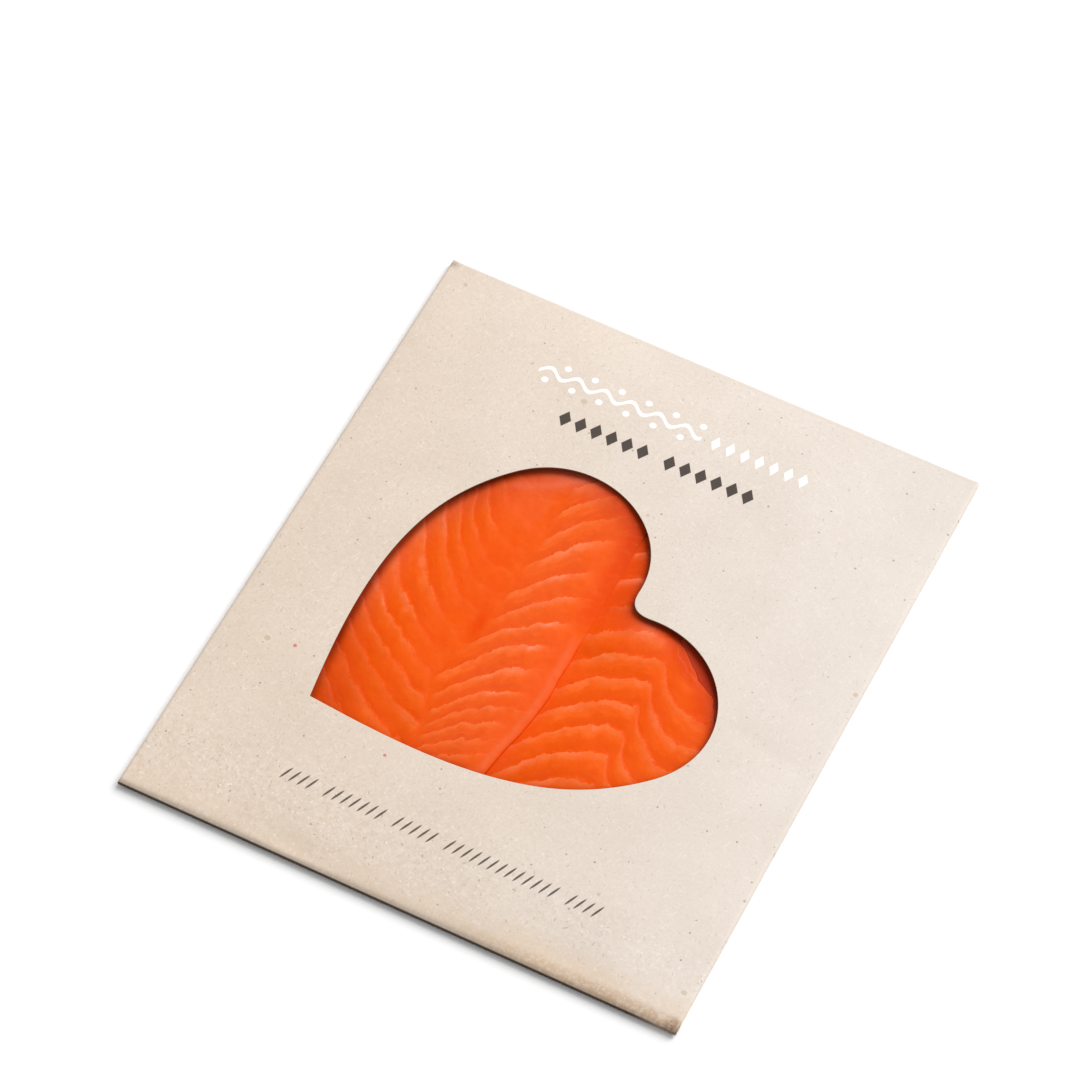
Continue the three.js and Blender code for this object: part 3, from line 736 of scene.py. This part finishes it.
def left_bands(x, y):
    """Distances below and above band edges and the band place, with how far a point lies past the valley."""
    falls = band_places(falling_lines(x + 0.9 * mottle(x, y, 11.0, 11)), y + ragged(x, y, 12))
    climbs = band_places(climbing_lines(x + 0.9 * mottle(x, y, 10.0, 13)), y + ragged(x, y, 15))
    beyond = x + 0.9 * mottle(x, y, 3.4, 14) - valley_edge(y)
    below, above, band = [np.where(beyond > 0, right, left) for left, right in zip(falls, climbs)]
    return below, above, band, beyond


def left_masks(x, y, edge, bands, even_flesh):
    """Masks from 0 to 1: bands, painted glints, pale tints with painted sheen, deeper flesh, painted shade,
    and painted shade along the window's rim.
    """
    lifted = 1 - overlap_fade(y)
    left_edge = ease(-36, -52, x)
    far_side = ease(6, 36, y)
    patches = ease(-0.2, 0.5, mottle(0.9 * x + 0.4 * y, 0.9 * y - 0.4 * x, 5.0, 20))
    # Painted highlights: patches of pink-white glints on the climbing bands and at the far left.
    glint_area = ease(-17, -10, x) * (1 - ease(-5, 0, x)) * (0.35 + 0.65 * ease(-30, -8, y))
    glint_area = glint_area * ease(-46, -34, y) * (1 - ease(30, 40, y))
    level = 41.5 + 0.36 * (x + 34.8) + 0.018 * np.maximum(0.0, x + 34.8) ** 2
    far_line = 0.17 * np.exp(-((y - level) / 1.5) ** 2) * ease(-40, -34, x) * ease(-13, -17, x)
    lip = (0.12 * np.exp(-((edge - x - 1.9) / 1.0) ** 2) + 0.03 * ease(-4, 2, x)) * lifted
    # Painted sheen: a pale pink tint near the window's edges, most at the far side.
    painted_sheen = 0.12 * far_side + 0.40 * hollow(x, y, (-20, 53), (10, 14)) + 0.14 * left_edge * ease(-34, -14, y)
    valley = 0.09 * even_flesh * ease(22, 38, y) + 0.05 * ease(-24, -14, x) * ease(2, -8, x)
    deep = 0.9 * ease(0, 5, x) * ease(-2, 9, y) + 1.1 * hollow(x, y, (-22.4, -10.5), (2.3, 6.0))
    seam = 0.35 * ease(1.0, 0.1, edge - x) * lifted
    near_shade = 0.5 * ease(-42, -60, x + 0.35 * y + 12) * ease(-54, -36, y) + 0.12 * ease(-22, -52, y)
    far_shade = 0.50 * far_side * window_nearness(x, y, 7.5)
    notch_shade = 0.30 * far_side * ease(-16, -4, x) * window_nearness(x, y, 10.0)
    return {
        "show": bands * (1 - 0.22 * ease(-24, -32, x)),
        "gloss": glint_area * (0.3 + 0.7 * patches) + 0.55 * ease(-40, -50, x) * patches * ease(-34, -14, y),
        "haze": far_line + lip + painted_sheen * window_nearness(x, y, SHEEN_REACH) + valley,
        "dark": deep + seam + 0.25 * even_flesh * ease(26, 8, y),
        "shade": near_shade + far_shade + notch_shade + 0.45 * hollow(x, y, (-50, -53), (8, 7)),
        # Painted shade along the window's edge, where the board overhangs the flesh.
        "rim": window_nearness(x, y, SHADE_RIM_REACH) * (1 - 0.6 * far_side) * (0.6 + 0.4 * ease(-44, -34, y)),
    }


def left_slice():
    """Bands that fade in the valley and along the cut edge, on a top that is flush there or rounded over."""
    x, y, edge = left_grid()
    below, above, band, beyond = left_bands(x, y)
    climbs = beyond > 0
    calm = np.where(climbs, 0.0, 0.78 * ease(-39, -31, x) * ease(-40, -24, y))
    tips = np.where(climbs, ease(0.0, 3.0, beyond), 1 - ease(-2.5, 0.0, beyond))
    strip = ease(-4, 3, x + 2.5 * mottle(x, y, 7.0, 18))
    strength = (1 - calm) * tips * (1 - 0.96 * strip)
    uneven = 0.84 + 0.42 * mottle(x, y, 7.0, 16) + 0.22 * mottle(x, y, 2.5, 17)
    flush = overlap_fade(y)
    waves = (0.05 * mottle(x, y, 3.0, 18) + 0.12 * mottle(x, y, 14.0, 19)) * (1 - flush * ease(-6, 5, x))
    relief = ridge(below, above) * strength * np.clip(uneven, 0.3, 1.1) + waves
    base = LEFT_LEVEL + 0.7 * ease(-24, -2, x) - 0.8 * ease(-36, -52, x) - margin_fall(x, y)
    base = base - (0.5 + 0.22 * flush) * ease(-5, 7, x)
    press = 0.1 * window_nearness(x, y, 2.2) * (1 - flush * ease(-10, -3, x))
    z = rounded_rim(base + relief - 0.1 - press, left_underside(x, y), edge - x, LEFT_ROUND)
    masks = left_masks(x, y, edge, strength * uneven, calm * ease(0, -4, beyond))
    return x, y, z, band, masks


def ramp(tree, share, stops):
    """Colour picked by a share from a row of places and colours, blended between them."""
    node = put(tree, "ShaderNodeValToRGB", {"Fac": share})
    bands = node.color_ramp.elements
    while len(bands) < len(stops):
        bands.new(0.5)
    for element, (place, colour) in zip(bands, stops):
        element.position = place
        element.color = colour
    return node.outputs["Color"]


def salmon_material(name, stops, flesh, lip, haze, dark, shade, rim):
    """Moist flesh: the place in a band picks a colour, pale at its raised edge and deep above the next, under
    painted glints, painted sheen and painted shade.
    """
    material, tree, shader = new_material(name)
    place = put(tree, "ShaderNodeTexCoord").outputs["Object"]
    keys = ("band", "show", "gloss", "haze", "dark", "shade", "rim")
    mask = {key: put(tree, "ShaderNodeAttribute", attribute_name=key).outputs["Fac"] for key in keys}
    teeth = product(tree, calc(tree, "SUBTRACT", grain(tree, place, 1000.0, 2.0), 0.5), 0.12)
    band = calc(tree, "ADD", mask["band"], teeth)
    share = calc(tree, "FRACT", band)
    metres = put(tree, "ShaderNodeSeparateXYZ", {"Vector": place})
    across = product(tree, metres.outputs["X"], 170.0)
    lengthwise = put(tree, "ShaderNodeCombineXYZ", {"X": across, "Y": product(tree, band, 4.5)})
    streak = grain(tree, lengthwise.outputs["Vector"], 1.0, 3.0, 0.6)
    reach = product(tree, share, span(tree, streak, 0.3, 0.7, 0.72, 1.6))
    cloud = grain(tree, place, 110.0, 3.0)
    plain = blend(tree, span(tree, cloud, 0.35, 0.7, 0.0, 0.35), flesh, dark)
    colour = blend(tree, mask["show"], plain, ramp(tree, reach, stops))
    # Painted highlights: pink-white glints along the raised band edges.
    by_edge = span(tree, share, 0.04, 0.34, 1.0, 0.0)
    glints = product(tree, by_edge, span(tree, streak, 0.35, 0.62, 0.25, 1.0), mask["show"], mask["gloss"])
    colour = blend(tree, glints, colour, lip)
    # Mixed in by their masks: a pale tint that is partly painted sheen, deeper flesh that is partly painted
    # shade, and painted shade.
    for key, tone in (("haze", haze), ("dark", dark), ("shade", shade)):
        colour = blend(tree, mask[key], colour, tone)
    colour = blend(tree, span(tree, streak, 0.45, 0.75, 0.0, 0.24), colour, stops[1][1])
    colour = blend(tree, span(tree, grain(tree, place, 420.0, 3.0), 0.45, 0.72, 0.0, 0.22), colour, dark)
    # Painted shade: the flesh is darkened along the window's edge by multiplying.
    colour = blend(tree, mask["rim"], colour, rim, "MULTIPLY")
    feed(tree, shader.inputs["Base Color"], colour)
    feed(tree, shader.inputs["Roughness"], span(tree, cloud, 0.3, 0.7, 0.32, 0.48))
    shader.inputs["Specular IOR Level"].default_value = 0.05
    height = calc(tree, "ADD", product(tree, streak, 0.6), grain(tree, place, 450.0, 3.0))
    bump = put(tree, "ShaderNodeBump", {"Strength": 0.35, "Distance": 0.0002, "Height": height})
    feed(tree, shader.inputs["Normal"], bump.outputs["Normal"])
    return material


def slice_piece(name, grid, underside, centre, node, material):
    """Builds one slice from its top grid and gives it its masks and material."""
    x, y, z, band, masks = grid
    faces, border = slab_faces(*x.shape, len(SHRINKS))
    points = slab_points(x, y, z, underside, centre, border)
    piece = mesh_piece(name, points, faces, node)
    keep_masks(piece, band, masks, len(points) - x.size)
    piece.data.materials.append(material)


SALMON_BAND = [
    (0.0, rgb(242, 112, 52)),
    (0.15, rgb(242, 107, 42)),
    (0.30, rgb(240, 98, 26)),
    (0.50, rgb(236, 89, 8)),
    (0.72, rgb(231, 82, 0)),
    (1.0, rgb(227, 76, 0)),
]
# Flesh colours: lip is the painted glint colour, the pale tint also serves as painted sheen, shade is painted
# shade, and rim is painted shade multiplied in along the window's edge.
salmon = salmon_material(
    "smoked salmon",
    SALMON_BAND,
    flesh=rgb(237, 87, 8),
    lip=rgb(250, 160, 130),
    haze=rgb(244, 148, 120),
    dark=rgb(230, 70, 0),
    shade=rgb(190, 50, 4),
    rim=rgb(176, 150, 150),
)
slice_piece(
    "salmon_left", left_slice(), left_underside, (-30.0, 0.0), "salmon_slice_left", salmon
)

# Right slice: the next slice down, cut from the same side. Its bands are arches that climb from under the
# left slice, turn sharply and run down to the right. Its free edge shows at the upper right of the window.
RIGHT_EDGE = np.array([
    (24, 44), (30.8, 20), (33.6, 13.2), (39.6, 7.8), (43.8, 2.8),
    (50.2, -0.8), (54.5, -8), (59, -13), (67, -22.0),
])
RIGHT_LEVEL, RIGHT_STEP = 2.75, 2.55
RIGHT_ROUND = 1.0
RIGHT_ROUND_PLACES = np.array([0.3, 0.55, 0.75, 0.9, 0.97, 1.0])


def right_lines(x):
    """Raised edges: an arch of power 1.9 up to x = 33, flatter far up, then a flank as a quarter sine."""
    height = (82 - 10.05 * np.arange(16))[:, None, None]
    reach = np.maximum(0.0, (33 - x) / 25)
    flat = ease(-14, 12, height)
    arch = 4 - 3.4 * flat - (14.8 - 5 * flat) * reach ** 1.9
    flank = -0.8 - 11.2 * np.sin(np.clip((x - 33) / 15, 0, 1) * math.pi / 2)
    rise = 2.2 * ease(47, 54, x) * ease(-10, -19, height)
    stretch = 2.4 * ease(14, 30, height) * ease(17, 9, x)
    return height + stretch + arch + (flank + rise - arch) * ease(31.5, 35.0, x)


def right_free_edge(y):
    """Right border from far to near: the torn free edge's curve, then straight, and a rounded corner."""
    edge = np.interp(-y, -RIGHT_EDGE[:, 1], RIGHT_EDGE[:, 0])
    torn = 0.3 * mottle(y * 0, y, 3.0, 41) + 0.35 * mottle(y * 0, y, 1.3, 43)
    return edge - rounded_corners(y, -56, math.inf, 14) + torn * ease(-24, -12, y)


def right_underside(x, y):
    """Lies on the tray, steps up over the slice beneath it at the right, and thins out to its free edge."""
    thin = 0.6 * ease(1.2, 0, right_free_edge(y) - x) * ease(-16, -10, y)
    return TRAY + (RIGHT_STEP - TRAY) * ease(25, 31.5, x) + thin


def right_grid():
    """Rows from far to near: columns hidden by the left slice, even ones in view, close ones at the edge."""
    far, middle, near = np.linspace(44, 38, 5), np.linspace(38, -61, 330), np.linspace(-61, -70, 8)
    y = np.concatenate([far[:-1], middle, near[1:]])[:, None]
    start = -6 + rounded_corners(y, -56, 30, 14)
    edge = right_free_edge(y)
    shown_start = np.minimum(1.0, edge - 4)
    hidden = start + (shown_start - start) * np.linspace(0, 1, 7)[None, :-1]
    shown = shown_start + (edge - RIGHT_ROUND - shown_start) * np.linspace(0, 1, 200)[None]
    rim = edge - RIGHT_ROUND * (1 - RIGHT_ROUND_PLACES[None])
    x = np.concatenate([hidden, shown, rim], axis=1)
    return x, np.broadcast_to(y, x.shape).copy(), edge


def right_masks(x, y, inward, beside, turn):
    """The same masks as on the left slice, with pale ends on two bands at the upper left."""
    notch_side = ease(2, 10, y) * (1 - ease(14, 24, x))
    uneven = 0.92 + 0.22 * mottle(x, y, 7.0, 56) + 0.15 * mottle(x, y, 2.5, 57)
    drops = [level + 0.64 * (x - 8) + 0.35 * mottle(x, y, 1.1, 61) - y for level in (36.2, 24.9)]
    pale_ends = sum(ease(-0.2, 0.3, drop) * np.exp(-(drop / 2.6) ** 2) for drop in drops) * ease(7.2, 8.2, x)
    thin_edge = 0.30 * ease(5.0, 0.6, inward) * ease(-24, -12, y)
    # Painted sheen: a pale pink tint near the window's edge at the upper right.
    painted_sheen = 0.2 * ease(-12, 4, y) * ease(14, 24, x) * window_nearness(x, y, SHEEN_REACH)
    # Painted shade: darker beside the left slice's cut edge, which shades it.
    seam = 0.5 * ease(6.0, 0.5, beside) * (1 - 0.3 * overlap_fade(y))
    # A darker patch of flesh, and painted shade within 12 mm of the free edge.
    deep = 0.35 * hollow(x, y, (36, -12), (4, 12)) + 0.8 * ease(12.0, 3.0, inward) * ease(-20, -9, y)
    edge_shade = 0.3 * ease(9.0, 1.5, inward) * ease(-18, -8, y)
    notch_shade = 0.50 * notch_side * window_nearness(x, y, 6.0)
    near_shade = 0.12 * ease(44, 60, x) + 0.18 * ease(-38, -52, y)
    return {
        "show": uneven * (1 - 0.5 * turn) * (1 - 0.25 * notch_side) * (1 - 0.15 * ease(33, 37, x)),
        # Painted highlights: faint glints, a little more by the notch.
        "gloss": 0.04 + 0.14 * ease(0.0, 0.7, mottle(x, y, 5.0, 60)) + 0.10 * notch_side,
        "haze": thin_edge + 0.07 * hollow(x, y, (22, 11), (10, 5)) + 0.30 * pale_ends + painted_sheen,
        # Deeper flesh here is mostly painted shade: beside the left slice, by the notch and near the free
        # edge.
        "dark": seam + 0.55 * notch_side + deep - 0.6 * pale_ends,
        "shade": edge_shade + notch_shade + near_shade - 0.25 * pale_ends,
        # Painted shade along the window's edge, less by the notch and at the far right.
        "rim": window_nearness(x, y, SHADE_RIM_REACH) * (1 - 0.5 * notch_side) * (1 - 0.4 * ease(40, 50, x)),
    }


def right_slice():
    """Arched bands that fade at their turn, smooth and raised where the left slice's edge lies on them."""
    x, y, edge = right_grid()
    below, above, band = band_places(right_lines(x + 0.8 * mottle(x, y, 10.0, 51)), y + ragged(x, y, 52))
    turn = hollow(x, y * 0, (33.2, 0), (1.6, 1))
    beside = x - left_cut_edge(y)
    waves = 0.05 * mottle(x, y, 3.0, 58) + 0.12 * mottle(x, y, 14.0, 59)
    relief = (ridge(below, above) * (1 - 0.5 * turn) + waves) * ease(1.0, 2.8, np.abs(beside))
    raised = 0.58 * overlap_fade(y) * ease(-2.4, -0.9, beside) * (1 - ease(12, 26, x))
    swell = 0.4 * hollow(x, y, (21, 10), (9, 10))
    full = RIGHT_LEVEL + 0.75 * ease(6, 28, x) + raised - margin_fall(x, y) + relief - 0.1 + swell
    z = rounded_rim(full, right_underside(x, y), edge - x, RIGHT_ROUND)
    return x, y, z, band, right_masks(x, y, edge - x, beside, turn)


slice_piece(
    "salmon_right", right_slice(), right_underside, (24.0, -28.0), "salmon_slice_right", salmon
)

# Slice beneath: another slice of the same fish, given darker, redder flesh colours. It lies flat on the tray
# under the free edge of the right slice, and shows past it in the shade of the board, darkened further by
# painted shade.
UNDER_LEVEL = 2.2


def under_underside(x, y):
    """Lies on the tray."""
    return TRAY + 0 * x


def under_slice():
    """Top grid with rounded corners and low slanting bands, rising to meet the free edge above it."""
    y = np.linspace(40, -34, 200)[:, None]
    bow = rounded_corners(y, -25, 31, 9)
    x = 33 + bow + (66 - bow - 33 - bow) * np.linspace(0, 1, 200)[None]
    y = np.broadcast_to(y, x.shape).copy()
    lines = (60 - 9.0 * np.arange(14))[:, None, None] - 0.5 * (x - 33)
    below, _, band = band_places(lines, y + ragged(x, y, 72))
    past = x - right_free_edge(y)
    relief = 0.12 * np.exp(-below / 3.0) + 0.05 * mottle(x, y, 4.0, 73)
    relief = relief * np.maximum(ease(0.5, 1.8, past), ease(-2.5, -5, past))
    meet = 0.55 * ease(-1.3, -0.05, past) * ease(-16, -10, y)
    z = UNDER_LEVEL + 0.25 * ease(-3.0, -0.6, past) + meet + 0.3 * ease(-0.15, 0.4, past) + relief
    masks = {
        "show": 0.6 + 0 * x,
        "gloss": 0.2 + 0 * x,
        "haze": 0.05 + 0.22 * ease(2.2, 0.3, past),
        "dark": 0 * x,
        "shade": 0.15 + 0.35 * ease(0.5, 5.0, past),
        # Painted shade along the window's edge.
        "rim": 0.6 * window_nearness(x, y, SHADE_RIM_REACH),
    }
    return x, y, z, band, masks


DEEP_BAND = [
    (0.0, rgb(214, 80, 46)),
    (0.12, rgb(206, 68, 34)),
    (0.30, rgb(197, 60, 26)),
    (0.55, rgb(189, 52, 18)),
    (0.80, rgb(182, 45, 13)),
    (1.0, rgb(176, 40, 10)),
]
# Darker flesh colours with the same roles: lip for painted glints, the pale tint also for painted sheen,
# shade and rim for painted shade.
deep_salmon = salmon_material(
    "deep salmon",
    DEEP_BAND,
    flesh=rgb(192, 54, 22),
    lip=rgb(232, 120, 92),
    haze=rgb(224, 104, 68),
    dark=rgb(190, 50, 10),
    shade=rgb(160, 36, 8),
    rim=rgb(200, 170, 160),
)
slice_piece(
    "salmon_under",
    under_slice(),
    under_underside,
    (49.5, 3.0),
    "salmon_slice_under",
    deep_salmon,
)

# Studio: a plain white floor, even soft light from all round, and one large soft light from behind on the
# right. The camera looks down on the pack from its near right through a long lens.
FLOOR_HALF = 6.0
SKY_STRENGTH = 0.50
KEY_PLACE, KEY_SIZE, KEY_POWER = (1.44, 3.36, 3.36), 4.6, 280.0
SENSOR_WIDTH, FOCAL_LENGTH = 36.0, 189.63
CAMERA_PLACE = (0.33265, -0.90756, 1.39718)
CAMERA_TURN = (35.4116, -3.7330, 25.8791)


def lay_floor():
    """White matt floor with a faint cloud in its tone."""
    half = FLOOR_HALF
    corners = [(-half, -half, 0), (half, -half, 0), (half, half, 0), (-half, half, 0)]
    mesh = bpy.data.meshes.new("floor")
    mesh.from_pydata(corners, [], [(0, 1, 2, 3)])
    floor = bpy.data.objects.new("floor", mesh)
    bpy.context.collection.objects.link(floor)
    material, tree, shader = new_material("white floor")
    place = put(tree, "ShaderNodeTexCoord").outputs["Object"]
    white = blend(tree, grain(tree, place, 3.0), rgb(250, 250, 250), rgb(252, 252, 252))
    feed(tree, shader.inputs["Base Color"], white)
    shader.inputs["Roughness"].default_value = 0.9
    shader.inputs["Specular IOR Level"].default_value = 0.1
    mesh.materials.append(material)


def set_lights():
    """Even white light from all round, and a large disk of light that faces the pack."""
    world = bpy.data.worlds.new("studio")
    bpy.context.scene.world = world
    world.use_nodes = True
    sky = world.node_tree.nodes["Background"]
    sky.inputs["Color"].default_value = (1, 1, 1, 1)
    sky.inputs["Strength"].default_value = SKY_STRENGTH
    key = bpy.data.lights.new("key", "AREA")
    key.shape = "DISK"
    key.size = KEY_SIZE
    key.energy = KEY_POWER
    lamp = bpy.data.objects.new("key", key)
    lamp.location = KEY_PLACE
    lamp.rotation_euler = (-lamp.location).to_track_quat("-Z", "Y").to_euler()
    bpy.context.collection.objects.link(lamp)


def set_camera():
    """Camera where the photo's stood, fitted to the four corners of the sleeve."""
    lens = bpy.data.cameras.new("camera")
    lens.sensor_width = SENSOR_WIDTH
    lens.lens = FOCAL_LENGTH
    lens.clip_end = 50.0
    camera = bpy.data.objects.new("camera", lens)
    camera.location = CAMERA_PLACE
    camera.rotation_euler = [math.radians(angle) for angle in CAMERA_TURN]
    bpy.context.collection.objects.link(camera)
    bpy.context.scene.camera = camera
    bpy.context.scene.view_settings.view_transform = "Standard"


lay_floor()
set_lights()
set_camera()
